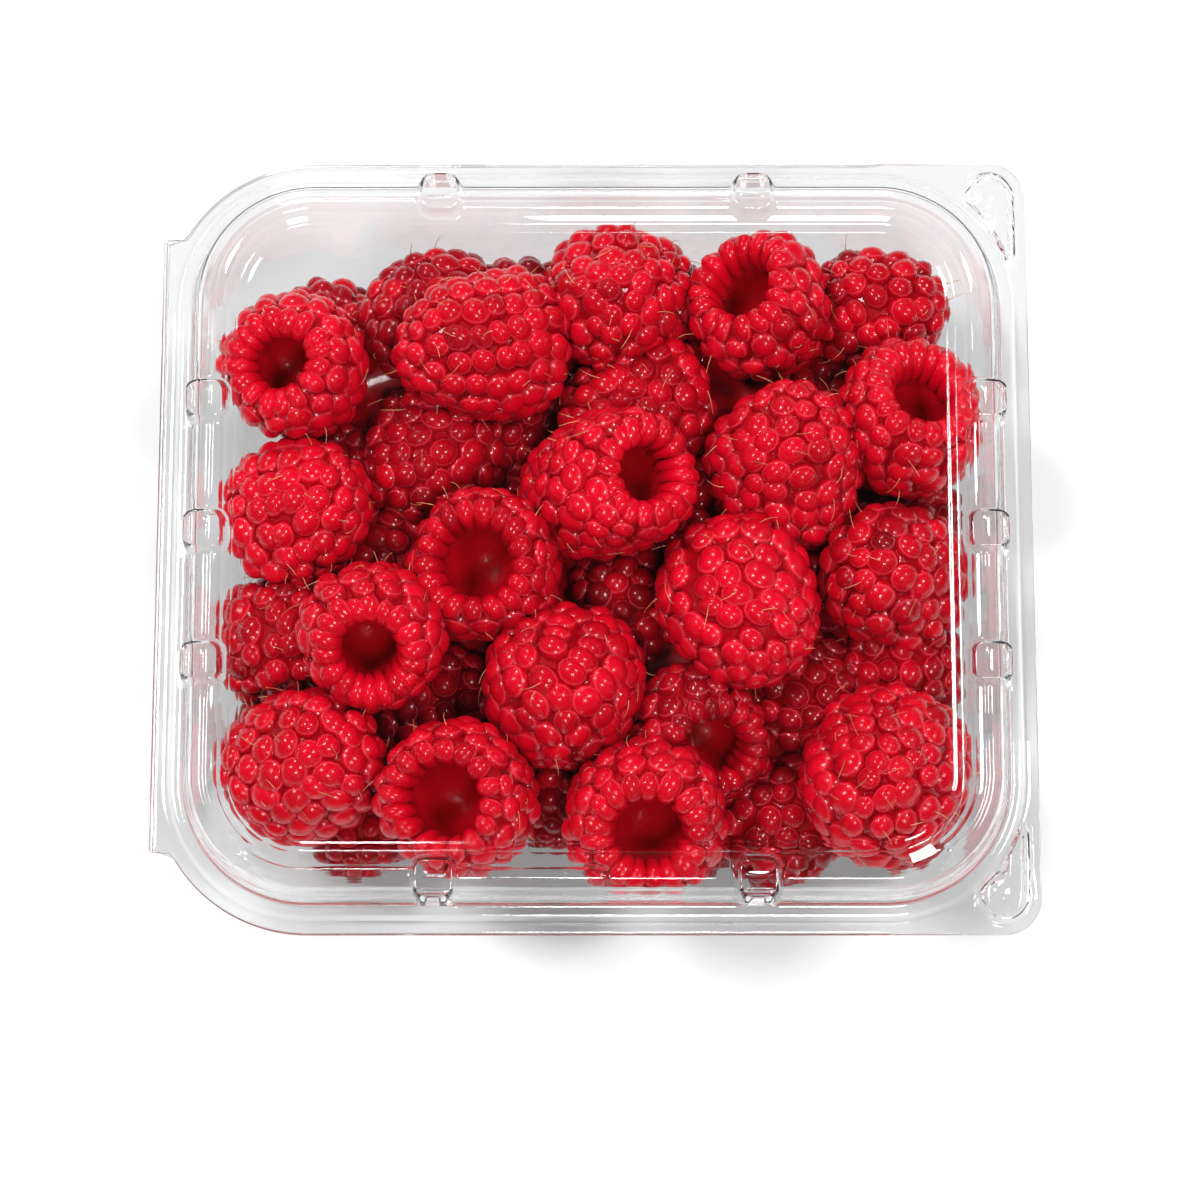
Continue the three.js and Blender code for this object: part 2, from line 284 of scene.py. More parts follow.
def makeStations(turns, detailed):
    # anticlockwise from the back end of the right side: each corner, then the side after it
    stations = []
    both = sorted({s * m for m in outline["lugMarks"] for s in (-1, 1)})
    for corner in range(4):
        signX = 1 if corner in (0, 3) else -1
        signY = 1 if corner < 2 else -1
        count = turns[0] if signX > 0 else turns[1]
        for i in range(count + 1):
            angle = (corner + i / count) * math.pi / 2
            stations.append((Vector((signX, signY)), Vector((math.cos(angle), math.sin(angle)))))
        isLong = corner in (0, 2)
        half = straightX if isLong else straightY
        features = outline["longLugs" if isLong else "shortLugs"] if detailed else ()
        markSets = [both] * len(features)
        if detailed and corner == 2:
            features = (*features, channel["end"])
            markSets = [*markSets, outline["channelMarks"]]
        marks = sideMarks(half, features, markSets)
        for along in reversed(marks) if corner < 2 else marks:
            if isLong:
                stations.append((Vector((along / straightX, signY)), Vector((0, signY))))
            else:
                stations.append((Vector((signX, along / straightY)), Vector((signX, 0))))
    return stations


def flangeReach(away, inset):
    # how far the flange reaches from a corner centre: square on the right, ending the hinge strip on the left
    radius = pack["cornerRadius"] - inset
    low, high = sorted((abs(away.x), abs(away.y)))
    if away.x > 1e-6:
        small = pack["snapCornerRadius"] - inset
        core = radius - small
        if radius * low / high <= core:
            return radius / high
        middle = core * (low + high)
        return middle + math.sqrt(middle ** 2 - 2 * core ** 2 + small ** 2)
    strip = pack["hingeHalfLength"] - straightY - inset
    across, along = abs(away.x), abs(away.y)
    if radius * along <= strip * across:
        return radius / across
    if radius * along < strip:
        return strip / along
    return radius


def ringPlace(station, inset):
    anchor, away = station
    radius = max(pack["cornerRadius"] - inset, pack["smallestRadius"])
    centreX = packLength / 2 - inset - radius
    centreY = packWidth / 2 - inset - radius
    reach = radius
    if inset < outline["roundFrom"]:
        share = (outline["roundFrom"] - inset) / (outline["roundFrom"] - outline["squareUntil"])
        reach += (flangeReach(away, inset) - radius) * min(share, 1)
    return anchor.x * centreX + away.x * reach, anchor.y * centreY + away.y * reach


def roundBends(points, radius, steps):
    # a profile with each bend drawn as a short curve
    rounded = [Vector(points[0])]
    for trio in zip(points, points[1:], points[2:]):
        before, here, after = (Vector(p) for p in trio)
        start = here + (before - here).normalized() * min(radius, (before - here).length * 0.45)
        end = here + (after - here).normalized() * min(radius, (after - here).length * 0.45)
        for i in range(steps + 1):
            t = i / steps
            rounded.append(start.lerp(here, t).lerp(here.lerp(end, t), t))
    return [*rounded, Vector(points[-1])]


def splitLong(points, low, high, longest):
    # extra rings between two insets, wherever they lie further apart than that
    split = [points[0]]
    for before, here in zip(points, points[1:]):
        if low <= (before.x + here.x) / 2 <= high:
            count = math.ceil((here - before).length / longest)
            split += [before.lerp(here, i / count) for i in range(1, count)]
        split.append(here)
    return split


def formSheet(stations, profile, heightAt):
    # the upper face from the outer edge inwards: a grid with one row for each point of the profile
    bm = bmesh.new()
    bmesh.ops.create_grid(bm, x_segments=len(stations), y_segments=len(profile) - 1, size=1)
    columns = {x: i for i, x in enumerate(sorted({round(v.co.x, 5) for v in bm.verts}))}
    rows = {y: i for i, y in enumerate(sorted({round(v.co.y, 5) for v in bm.verts}))}
    for vert in bm.verts:
        station = stations[columns[round(vert.co.x, 5)] % len(stations)]
        inset, height = profile[rows[round(vert.co.y, 5)]]
        x, y = ringPlace(station, inset)
        vert.co = (x, y, heightAt(station, inset, height, x, y))
    bmesh.ops.remove_doubles(bm, verts=bm.verts, dist=1e-4)
    inner = []
    for edge in bm.edges:
        x, y, _ = edge.verts[0].co
        if edge.is_boundary and max(abs(x), abs(y)) < packLength / 4:
            inner.append(edge)
    cap = bmesh.ops.contextual_create(bm, geom=inner)["faces"]
    bmesh.ops.poke(bm, faces=cap)
    bmesh.ops.recalc_face_normals(bm, faces=bm.faces)
    if sum(f.normal.z * f.calc_area() for f in bm.faces) < 0:
        bmesh.ops.reverse_faces(bm, faces=bm.faces)
    return bm


# The lid's profile, each point an inset from the edge and a height over the flange
lidForm = {
    "flange": [(0, -0.3), (0.2, -0.04), (0.7, 0)],
    "step": [(1.5, 0), (2.3, 0.9), (3.7, 0.9)],
    "ridge": [(4.1, 1.4), (4.5, 3.5), (5.3, 5.6), (6.7, 6.45), (8.2, 6.2), (10.2, 5.25), (10.6, 4.95)],
    "panel": [(11.4, 4.92), (11.95, 4.65), (20, 4.65), (50, 4.65)],
    "bendRadius": 0.4,
    "bendSteps": 2,
    "ridgeStep": 0.33,
    "shelf": (7.2, 7.7, 8.9, 9.25),  # a ledge inside the crest, on all but the front side
    "shelfRise": 0.32,
    "seamAngle": 36.5,  # where the ledge ends, turned from the front side
    "edgeWave": 0.12,
}
lug = {
    "inset": 6.35,
    "halfLong": 2.35,
    "halfWide": 2.5,
    "radius": 1.2,
    "rise": 0.9,
    "skirt": 0.95,
    "outerSkirt": 0.6,
    "innerSkirt": 1.2,
    "slots": ((4.75, 1.8), (7, 1.65)),  # inset and half length
    "slotWidth": 0.42,
    "slotDepth": 0.2,
}
channel = {"end": 1.8, "inset": 6.3, "halfWide": 2.2, "radius": 1, "rise": 0.38, "edge": 0.75}
snap = {
    "inset": (5, 5),
    "radius": 3.85,
    "rise": 1.35,
    "edge": 0.7,
    "wall": (8, 10.2),  # where its straight wall fades out
    "dimple": 1.25,
    "dimpleShift": 0.75,
    "dimpleDepth": 0.35,
}


def sideOf(station):
    # the side a station is on and its place along it, or None in a corner
    anchor, away = station
    if abs(away.y) > 0.9999:
        return "back" if away.y > 0 else "front", anchor.x * straightX
    if abs(away.x) > 0.9999:
        return "right" if away.x > 0 else "left", anchor.y * straightY
    return None, None


def frontPlace(station):
    # place along the front, carried round both front corners as an arc length, or None elsewhere
    anchor, away = station
    if anchor.y > -0.9999 or away.y > -0.1:
        return None
    turned = math.degrees(math.atan2(abs(away.x), -away.y))
    if turned > lidForm["seamAngle"]:
        return None
    arc = math.radians(turned) * (pack["cornerRadius"] - channel["inset"])
    return anchor.x * straightX + math.copysign(arc, away.x)


def lugHeight(offset, inset, base):
    # the flat top of a vent lug, let down to the ridge over a skirt, with two narrow slots
    across = inset - lug["inset"]
    corner = Vector((max(abs(offset) - lug["halfLong"] + lug["radius"], 0),
                     max(abs(across) - lug["halfWide"] + lug["radius"], 0)))
    out = corner.length - lug["radius"]
    wide = (corner.y / corner.length) ** 2 if corner.length else 0
    skirt = lug["skirt"] + ((lug["outerSkirt"] if across < 0 else lug["innerSkirt"]) - lug["skirt"]) * wide
    top = pack["height"] + lug["rise"]
    height = base + (top - base) * (1 - smoothStep(0, skirt, out))
    for place, half in lug["slots"]:
        deep = 1 - smoothStep(0, lug["slotWidth"], abs(inset - place))
        height -= lug["slotDepth"] * deep * (1 - smoothStep(half - 0.2, half + 0.1, abs(offset)))
    return height


def channelRise(along, inset):
    past = max(along - channel["end"] + channel["radius"], 0)
    across = max(abs(inset - channel["inset"]) - channel["halfWide"] + channel["radius"], 0)
    out = math.hypot(past, across) - channel["radius"]
    return channel["rise"] * (1 - smoothStep(-channel["edge"], 0.1, out))


def snapRise(x, y, shrink):
    # the button in each square corner: round, with one straight wall along the right edge
    across = packLength / 2 - x - snap["inset"][0]
    along = packWidth / 2 - abs(y) - snap["inset"][1]
    radius = snap["radius"] - shrink
    out = math.hypot(across, along) - radius
    fade = 1
    if along > 0:
        out = min(out, max(-across - radius, across))
        fade = 1 - smoothStep(*snap["wall"], along)
    shift = snap["dimpleShift"]
    dimple = 1 - smoothStep(0.7, 1.1, math.hypot(across - shift, along - shift) / snap["dimple"])
    return (snap["rise"] * (1 - smoothStep(-snap["edge"], 0.1, out)) - snap["dimpleDepth"] * dimple) * fade


def lidHeight(station, inset, height, x, y):
    z = pack["flangeTop"] + height
    side, along = sideOf(station)
    front = frontPlace(station)
    if front is None:
        inner, rise, fall, end = lidForm["shelf"]
        z += lidForm["shelfRise"] * smoothStep(inner, rise, inset) * (1 - smoothStep(fall, end, inset))
    elif front < channel["end"] + 1:
        z += channelRise(front, inset)
    if side and 3.8 < inset < 10.8:
        lugs = outline["longLugs" if side in ("back", "front") else "shortLugs"]
        nearest = min(lugs, key=lambda place: abs(place - along))
        if abs(along - nearest) < 4:
            z = lugHeight(along - nearest, inset, z)
    if x > straightX and inset < 2:
        button = pack["flangeTop"] + snapRise(x, y, 0) * (1 - smoothStep(1.4, 1.9, inset))
        z = max(z, button)
    if inset < 1.4:
        z += lidForm["edgeWave"] * noise.noise(Vector((x, y, 0)) * 0.09) * (1 - inset / 1.4)
    return z


# The tray's inside face, by inset and height over the floor
trayForm = {
    "shoulder": [(4.3, 33.5), (4.9, 32.7)],
    "wall": [(8.3, 2.6), (9.75, 0.8), (11.2, 0.28)],
    "base": [(19.6, 0.28), (20.9, 1.15), (34, 1.2), (50, 1.2)],
    "bendRadius": 0.6,
    "bendSteps": 3,
    "snapShrink": 0.7,
}


def trayHeight(station, inset, height, x, y):
    z = height
    if x > straightX and inset < 2:
        flange = pack["flangeTop"] - pack["trayDrop"]
        button = flange + snapRise(x, y, trayForm["snapShrink"]) * (1 - smoothStep(1.4, 1.9, inset))
        z = max(z, button)
    if inset < 1.4:
        z += lidForm["edgeWave"] * noise.noise(Vector((x, y, 0)) * 0.09) * (1 - inset / 1.4)
    return z


def buildLid(material):
    points = [*lidForm["flange"], *lidForm["step"], *lidForm["ridge"], *lidForm["panel"]]
    profile = roundBends(points, lidForm["bendRadius"], lidForm["bendSteps"])
    profile = splitLong(profile, outline["squareUntil"], outline["roundFrom"] + 0.2, 0.6 / outline["blendRings"])
    profile = splitLong(profile, 3.75, 10.6, lidForm["ridgeStep"])
    bm = formSheet(makeStations(outline["lidTurns"], True), profile, lidHeight)
    return finishPiece("lid_sheet", bm, "lid", material, "lid", 40, pack["sheet"])


def buildTray(material):
    flangeTop = pack["flangeTop"] - pack["trayDrop"]
    flange = [(inset, flangeTop + rise) for inset, rise in [*lidForm["flange"], *lidForm["step"]]]
    points = [*flange, *trayForm["shoulder"], *trayForm["wall"], *trayForm["base"]]
    profile = roundBends(points, trayForm["bendRadius"], trayForm["bendSteps"])
    profile = splitLong(profile, outline["squareUntil"], outline["roundFrom"] + 0.2, 0.9 / outline["blendRings"])
    bm = formSheet(makeStations(outline["trayTurns"], False), profile, trayHeight)
    return finishPiece("tray_sheet", bm, "tray", material, "tray", 40, pack["sheet"])


# The thin fold that joins the tray's flange to the lid's along the left edge
fold = {"radius": 0.36, "bulge": 1.25, "steps": 8, "thickness": 0.22, "lengthSteps": 20, "clear": 0.04}


def buildFold(material):
    low = pack["flangeTop"] - pack["trayDrop"] - 0.3 - pack["sheet"] / 2
    middle = low + pack["trayDrop"] / 2
    half = pack["hingeHalfLength"] - 0.4
    bm = bmesh.new()
    section = []
    for radius, turns in ((fold["radius"], range(fold["steps"] + 1)),
                          (fold["radius"] - fold["thickness"], range(fold["steps"], -1, -1))):
        for i in turns:
            angle = math.pi * (i / fold["steps"] - 0.5)
            x = -packLength / 2 - fold["clear"] - radius * fold["bulge"] * math.cos(angle)
            section.append(bm.verts.new((x, -half, middle + radius * math.sin(angle))))
    strip = [bm.edges.new(pair) for pair in zip(section, [*section[1:], section[0]])]
    first = strip
    for step in range(fold["lengthSteps"]):
        grown = bmesh.ops.extrude_edge_only(bm, edges=strip)["geom"]
        strip = [g for g in grown if isinstance(g, bmesh.types.BMEdge) and g.is_boundary]
        moved = [g for g in grown if isinstance(g, bmesh.types.BMVert)]
        bmesh.ops.translate(bm, verts=moved, vec=(0, 2 * half / fold["lengthSteps"], 0))
    for end in (first, strip):
        bmesh.ops.contextual_create(bm, geom=end)
    bmesh.ops.recalc_face_normals(bm, faces=bm.faces)
    piece = finishPiece("hinge_fold", bm, None, material, None, 40)
    x = -packLength / 2 * mm
    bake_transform(piece)
    return piece


# Fruit: the tone of each bead, a pale thin rim round it painted in as sheen, painted shade between the beads, and
# darker down in the stalk hollow
fruit = {
    "deep": (0.2, 0.0004, 0.004, 1),
    "mid": (0.6, 0.0005, 0.011, 1),
    "bright": (0.8, 0.001, 0.018, 1),
    "gap": (0.34, 0.0004, 0.005, 1),
    "rimSheen": (0.92, 0.08, 0.13, 1),
    "hollow": (0.55, 0.0006, 0.008, 1),
    "roughness": 0.36,
    "gloss": 0.06,
    "coat": 0.85,
    "hollowCoat": 0.1,
    "coatIor": 1.45,
    "coatRoughness": 0.09,
    "hollowRelief": 14,  # how much deeper the lumps down in the hollow are than the skin's
}


def raspberryMaterial():
    material, nodes, links = newMaterial("raspberryFlesh")

    def attribute(name):
        node = nodes.new("ShaderNodeAttribute")
        node.attribute_name = name
        return node.outputs["Fac"]

    def mixColours(factor, first, second):
        node = nodes.new("ShaderNodeMix")
        node.data_type = "RGBA"
        links.new(factor, node.inputs["Factor"])
        for socket, value in ((node.inputs["A"], first), (node.inputs["B"], second)):
            if isinstance(value, tuple):
                socket.default_value = value
            else:
                links.new(value, socket)
        return node.outputs["Result"]

    def band(value, stops):
        # a mask from pairs of place and strength
        node = nodes.new("ShaderNodeValToRGB")
        while len(node.color_ramp.elements) < len(stops):
            node.color_ramp.elements.new(0.5)
        for element, (place, strength) in zip(node.color_ramp.elements, stops):
            element.position = place
            element.color = (strength, strength, strength, 1)
        links.new(value, node.inputs["Fac"])
        return node.outputs["Color"]

    place = nodes.new("ShaderNodeTexCoord")
    clouds = nodes.new("ShaderNodeTexNoise")
    clouds.inputs["Scale"].default_value = 420
    clouds.inputs["Detail"].default_value = 2
    links.new(place.outputs["Object"], clouds.inputs["Vector"])
    shift = nodes.new("ShaderNodeMath")
    shift.operation = "MULTIPLY_ADD"
    links.new(clouds.outputs["Fac"], shift.inputs[0])
    shift.inputs[1].default_value = 0.5
    # the tone follows each berry's ripeness, less the painted shade given to lower layers and to the body between
    # the beads
    links.new(attribute("ripenessAndShade"), shift.inputs[2])
    tone = nodes.new("ShaderNodeMath")
    tone.operation = "SUBTRACT"
    links.new(shift.outputs["Value"], tone.inputs[0])
    tone.inputs[1].default_value = 0.25
    ramp = nodes.new("ShaderNodeValToRGB")
    ramp.color_ramp.elements[0].color = fruit["deep"]
    ramp.color_ramp.elements[1].color = fruit["bright"]
    middle = ramp.color_ramp.elements.new(0.5)
    middle.color = fruit["mid"]
    links.new(tone.outputs["Value"], ramp.inputs["Fac"])
    beadHeight = attribute("bead")
    # painted shade: a darker red low on each bead and over the body between the beads, where the creases lie in
    # shade
    low = band(beadHeight, ((0, 0.85), (0.3, 0.6), (0.47, 0)))
    # painted sheen: a pale thin line round each bead, standing in for the light its fine hairs catch at the edge
    rimSheen = band(beadHeight, ((0.48, 0), (0.53, 0.5), (0.56, 0.35), (0.62, 0)))
    withCreaseShade = mixColours(low, ramp.outputs["Color"], fruit["gap"])
    withRimSheen = mixColours(rimSheen, withCreaseShade, fruit["rimSheen"])
    hollow = attribute("hollow")
    colour = mixColours(hollow, withRimSheen, fruit["hollow"])
    coat = nodes.new("ShaderNodeMapRange")
    links.new(hollow, coat.inputs["Value"])
    coat.inputs["To Min"].default_value = fruit["coat"]
    coat.inputs["To Max"].default_value = fruit["hollowCoat"]
    shader = nodes.new("ShaderNodeBsdfPrincipled")
    links.new(colour, shader.inputs["Base Color"])
    shader.inputs["Roughness"].default_value = fruit["roughness"]
    shader.inputs["Specular IOR Level"].default_value = fruit["gloss"]
    links.new(coat.outputs["Result"], shader.inputs["Coat Weight"])
    shader.inputs["Coat IOR"].default_value = fruit["coatIor"]
    shader.inputs["Coat Roughness"].default_value = fruit["coatRoughness"]
    skin = nodes.new("ShaderNodeTexNoise")
    skin.inputs["Scale"].default_value = 1500
    skin.inputs["Detail"].default_value = 2
    links.new(place.outputs["Object"], skin.inputs["Vector"])
    lumps = nodes.new("ShaderNodeMath")
    lumps.operation = "MULTIPLY"
    links.new(clouds.outputs["Fac"], lumps.inputs[0])
    links.new(hollow, lumps.inputs[1])
    relief = nodes.new("ShaderNodeMath")
    relief.operation = "MULTIPLY_ADD"
    links.new(lumps.outputs["Value"], relief.inputs[0])
    relief.inputs[1].default_value = fruit["hollowRelief"]
    links.new(skin.outputs["Fac"], relief.inputs[2])
    bump = nodes.new("ShaderNodeBump")
    bump.inputs["Strength"].default_value = 0.1
    bump.inputs["Distance"].default_value = 0.3 * mm
    links.new(relief.outputs["Value"], bump.inputs["Height"])
    links.new(bump.outputs["Normal"], shader.inputs["Normal"])
    output = nodes.new("ShaderNodeOutputMaterial")
    links.new(shader.outputs["BSDF"], output.inputs["Surface"])
    return material


def styleMaterial():
    material, nodes, links = newMaterial("driedStyle")
    place = nodes.new("ShaderNodeTexCoord")
    patches = nodes.new("ShaderNodeTexNoise")
    patches.inputs["Scale"].default_value = 260
    links.new(place.outputs["Object"], patches.inputs["Vector"])
    ramp = nodes.new("ShaderNodeValToRGB")
    ramp.color_ramp.elements[0].position = 0.35
    ramp.color_ramp.elements[0].color = (0.5, 0.11, 0.05, 1)
    ramp.color_ramp.elements[1].position = 0.65
    ramp.color_ramp.elements[1].color = (0.92, 0.5, 0.24, 1)
    links.new(patches.outputs["Fac"], ramp.inputs["Fac"])
    shader = nodes.new("ShaderNodeBsdfPrincipled")
    links.new(ramp.outputs["Color"], shader.inputs["Base Color"])
    shader.inputs["Roughness"].default_value = 0.5
    output = nodes.new("ShaderNodeOutputMaterial")
    links.new(shader.outputs["BSDF"], output.inputs["Surface"])
    return material


# The berries in the pack: middle x, y, z, length, width, turn and tilt of the stalk end, open, ripeness
topBerries = [
    (-42, 27, 25, 21, 21, 210, 75, True, 0.75),
    (-16.5, 30, 26.4, 25, 21, 10, -25, False, 0.6),
    (3, 37.5, 23, 22, 22, 80, -60, False, 0.55),
    (24, 36, 22, 20, 20.5, 156, 60, True, 0.6),
    (0.5, 9.5, 26.2, 26.5, 21.5, 0, 54, True, 0.7),
    (27, 14, 26, 23, 22.5, 250, -65, False, 0.6),
    (43.5, 19, 23.5, 21, 21.5, 52, 70, True, 0.65),
    (-41, 7, 24, 21, 20, 200, -40, False, 0.7),
    (-14.5, -1.5, 23, 23, 21.5, 205, 74, True, 0.45),
    (41, -2, 22, 21, 20.5, 0, -60, False, 0.4),
    (20, -8, 26, 24, 22.5, 100, -35, False, 0.7),
    (-31, -10.5, 25.5, 23, 20.5, 270, 58, True, 0.65),
    (-4.5, -19, 25.8, 23, 23, 80, -70, False, 0.55),
    (-39.5, -29, 23, 23, 21.5, 200, -50, False, 0.6),
    (-18.5, -34.5, 24.5, 24, 22, 217, 72, True, 0.6),
    (6.5, -36, 23.5, 23, 22.5, 276, 62, True, 0.55),
    (39.5, -31.5, 24, 25, 23.5, 60, -55, False, 0.6),
]
middleBerries = [
    (-24, 36.5, 15.5, 22, 21.5, 20, -35, False, 0.45),
    (40.5, 37.5, 18, 20, 19, 180, -30, False, 0.6),
    (5, 22.5, 19, 22, 20, 30, -20, False, 0.6),
    (-23.5, 16, 17, 22, 20.5, 60, -30, False, 0.45),
    (-43.5, -11, 19, 20, 18, 180, -40, False, 0.55),
    (14, -23.5, 19, 20, 19.5, 300, 55, True, 0.45),
    (29.5, -18.5, 15, 20, 19.5, 140, -30, False, 0.35),
]
bottomBerries = [
    (-38, 34, 12, 18.5, 17.5, 120, -40, False, 0.5),
    (-36, 14, 12, 20, 19, 0, -30, False, 0.4),
    (-28.5, 2, 12, 20, 19, 150, -30, False, 0.35),
    (3.5, -5.5, 12, 20, 20, 60, -30, False, 0.4),
    (-22, -18, 12, 20, 20, 180, -20, False, 0.4),
    (42, -14, 12, 20, 19, 20, -40, False, 0.5),
    (27, -34.5, 13.5, 20, 19.5, 200, -30, False, 0.45),
    (-11, 22, 11.5, 20, 19.5, 90, -30, False, 0.3),
    (15, 8.5, 11.5, 20, 20, 270, -20, False, 0.3),
    (-9.5, 36, 12.5, 20, 19, 90, -10, False, 0.4),
    (-42, -22, 10, 19, 18, 230, -20, False, 0.4),
    (-33, -33, 10, 19, 18, 300, -15, False, 0.5),
    (-6, -30, 10.5, 19.5, 18.5, 80, -20, False, 0.4),
    (42, -32, 10, 19, 18, 330, -10, False, 0.5),
    (42, 7, 10.5, 19.5, 18.5, 10, -20, False, 0.4),
    (30, 28, 10.5, 19.5, 18.5, 60, -20, False, 0.4),
    (10, 36, 10.5, 19.5, 18.5, 100, -15, False, 0.5),
    (30, -2, 10.5, 19.5, 18.5, 340, -20, False, 0.3),
    (-10, 4, 10.5, 19.5, 18.5, 130, -20, False, 0.3),
    (12, -33, 10, 19, 18, 260, -15, False, 0.4),
]

# A berry's outline from tip to stalk end, in shares of its half width and of its length
berryForm = {
    "outline": [(0, -0.5), (0.42, -0.45), (0.74, -0.3), (0.94, -0.08), (1, 0.14), (0.93, 0.32)],
    "closedEnd": [(0.66, 0.45), (0, 0.47)],
    "openEnd": [(0.79, 0.45), (0.59, 0.5), (0.42, 0.43), (0.34, 0.27), (0.27, 0.06), (0, -0.02)],
    "wideEnd": [(0.8, 0.44), (0.63, 0.49), (0.47, 0.42), (0.39, 0.26), (0.29, 0.04), (0, -0.04)],
    "wide": [(-18.5, -34.5), (-14.5, -1.5), (24, 36), (14, -23.5)],  # berries with a wider stalk hollow
    "beadRise": 1.4,
    "proud": 0.25,  # how far the beads stand out past the outline
    "beadSize": 3.8,
    "beadHalf": 0.585,  # half a bead's width, in shares of its size
    "rowSpacing": 0.82,
    "beadDepth": 2.25,
    "sizeJitter": 0.14,
    "placeJitter": 0.15,
    "lean": 7,
    "warp": 1,
    "warpScale": 0.09,
    "lipBeads": 17,
    "lipBeadLength": 8.4,
    "lipBeadWidth": 3.1,
    "lipBeadDepth": 2.1,
    "lipShift": 1.5,  # how far the lip's beads reach over into the hollow
    "lipClear": 0.95,  # how far the last row's middles stay off them
    "sampleSteps": 12,
    "bodyStep": 4,
    "bodySides": 22,
    "squeeze": 1.8,  # how softly a berry gives way at the tray's wall or the lid
    "beadSqueeze": 0.35,
}


def smoothThrough(points, steps):
    # Catmull-Rom through the points, with the ends mirrored over the berry's axis
    padded = [(-points[1][0], points[1][1]), *points, (-points[-2][0], points[-2][1])]
    curve = []
    for i in range(1, len(padded) - 2):
        p0, p1, p2, p3 = (Vector(p) for p in padded[i - 1:i + 3])
        for step in range(steps):
            t = step / steps
            curve.append(
                0.5 * (2 * p1 + (p2 - p0) * t + (2 * p0 - 5 * p1 + 4 * p2 - p3) * t ** 2
                       + (3 * p1 - p0 - 3 * p2 + p3) * t ** 3))
    curve.append(Vector(points[-1]))
    return curve


class BerrySurface:
    # The base that the beads of one berry stand on, met by the distance from the tip along the outline
    def __init__(self, length, width, end):
        shares = berryForm["outline"] + berryForm[end]
        outer = smoothThrough([(r * width / 2, h * length) for r, h in shares], berryForm["sampleSteps"])
        self.points = []
        self.normals = []
        for i, point in enumerate(outer):
            along = outer[min(i + 1, len(outer) - 1)] - outer[max(i - 1, 0)]
            normal = Vector((along.y, -along.x)).normalized()
            if i == 0:
                normal = Vector((0, -1))
            self.normals.append(normal)
            base = point - normal * berryForm["beadRise"]
            self.points.append(Vector((max(base.x, 0), base.y)))
        self.reach = [0]
        for a, b in zip(self.points, self.points[1:]):
            self.reach.append(self.reach[-1] + (b - a).length)
        self.lip = self.reach[max(range(len(outer)), key=lambda i: outer[i].y)]
        self.length = self.reach[-1]

    def at(self, s):
        s = min(max(s, 0), self.length)
        i = min(max(bisect.bisect_right(self.reach, s) - 1, 0), len(self.reach) - 2)
        share = (s - self.reach[i]) / max(self.reach[i + 1] - self.reach[i], 1e-6)
        point = self.points[i].lerp(self.points[i + 1], share)
        normal = self.normals[i].lerp(self.normals[i + 1], share).normalized()
        return point, normal


def berryBody(surface):
    # the outline, less the beads' rise, spun about the axis
    bm = bmesh.new()
    picks = [*surface.points[:-1:berryForm["bodyStep"]], surface.points[-1]]
    verts = [bm.verts.new((p.x, 0, p.y)) for p in picks]
    edges = [bm.edges.new(pair) for pair in zip(verts, verts[1:])]
    bmesh.ops.spin(
        bm, geom=verts + edges, axis=(0, 0, 1), cent=(0, 0, 0), angle=math.tau,
        steps=berryForm["bodySides"], use_merge=True)
    bmesh.ops.remove_doubles(bm, verts=bm.verts, dist=0.02)
    bmesh.ops.recalc_face_normals(bm, faces=bm.faces)
    mesh = bpy.data.meshes.new("body")
    bm.to_mesh(mesh)
    bm.free()
    return mesh


def beadTemplate(segments, rings, lying):
    # the upper part of a bead, open below where it sinks into the berry; a long one has its poles at its ends
    bm = bmesh.new()
    bmesh.ops.create_uvsphere(bm, u_segments=segments, v_segments=rings, radius=1)
    if lying:
        bmesh.ops.rotate(bm, verts=bm.verts, cent=(0, 0, 0), matrix=Matrix.Rotation(math.pi / 2, 3, "Y"))
    low = [v for v in bm.verts if v.co.z < -0.35]
    bmesh.ops.delete(bm, geom=low, context="VERTS")
    mesh = bpy.data.meshes.new("bead")
    bm.to_mesh(mesh)
    bm.free()
    return mesh


def giveWay(value, limit, squeeze):
    # lets a length approach its limit softly
    start = limit - squeeze
    if value <= start:
        return value
    return limit - squeeze * math.exp(-(value - start) / squeeze)


def room(point, margin, squeeze):
    # moves a point so that it stays inside the tray and under the lid, by a margin
    wallTop, wallFoot = (4.9, 33.0), (8.3, 2.6)
    share = min(max((point.z - wallFoot[1]) / (wallTop[1] - wallFoot[1]), 0), 1)
    limit = pack["cornerRadius"] - (wallFoot[0] + (wallTop[0] - wallFoot[0]) * share) - 0.3 - margin
    away = Vector((max(abs(point.x) - straightX, 0), max(abs(point.y) - straightY, 0)))
    x, y = point.x, point.y
    if away.length > limit - squeeze:
        away *= giveWay(away.length, limit, squeeze) / away.length
        if abs(x) > straightX:
            x = math.copysign(straightX + away.x, x)
        if abs(y) > straightY:
            y = math.copysign(straightY + away.y, y)
    return Vector((x, y, max(giveWay(point.z, 37.55 - margin, squeeze), 1.6 + margin)))


